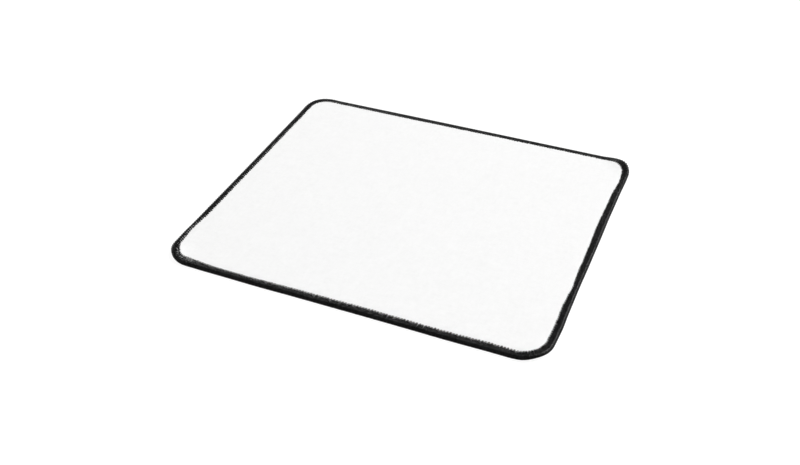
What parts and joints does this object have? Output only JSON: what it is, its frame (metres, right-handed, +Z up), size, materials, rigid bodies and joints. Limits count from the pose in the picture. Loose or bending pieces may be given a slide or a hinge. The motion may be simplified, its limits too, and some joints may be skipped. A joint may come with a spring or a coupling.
{
  "type": "mouse pad",
  "caption": "Flat rounded-corner mouse pad: white woven cloth bonded to a black foam-rubber base, with a black overlock-stitched edge all round.",
  "frame": {"origin": "middle of the underside, on the desk", "axes": "+X along the longer side, +Y along the shorter side away from the user, +Z up out of the cloth"},
  "size_m": [0.29, 0.25, 0.0032],
  "materials": {
    "white_cloth": "matte",
    "clear_film": "satin",
    "black_rubber": "matte",
    "black_thread": "satin"
  },
  "bodies": {
    "root": {"cloth_top": "white_cloth", "bond_film": "clear_film", "rubber_base": "black_rubber", "needle_thread": "black_thread", "upper_looper_thread": "black_thread", "lower_looper_thread": "black_thread"}
  },
  "joints": []
}
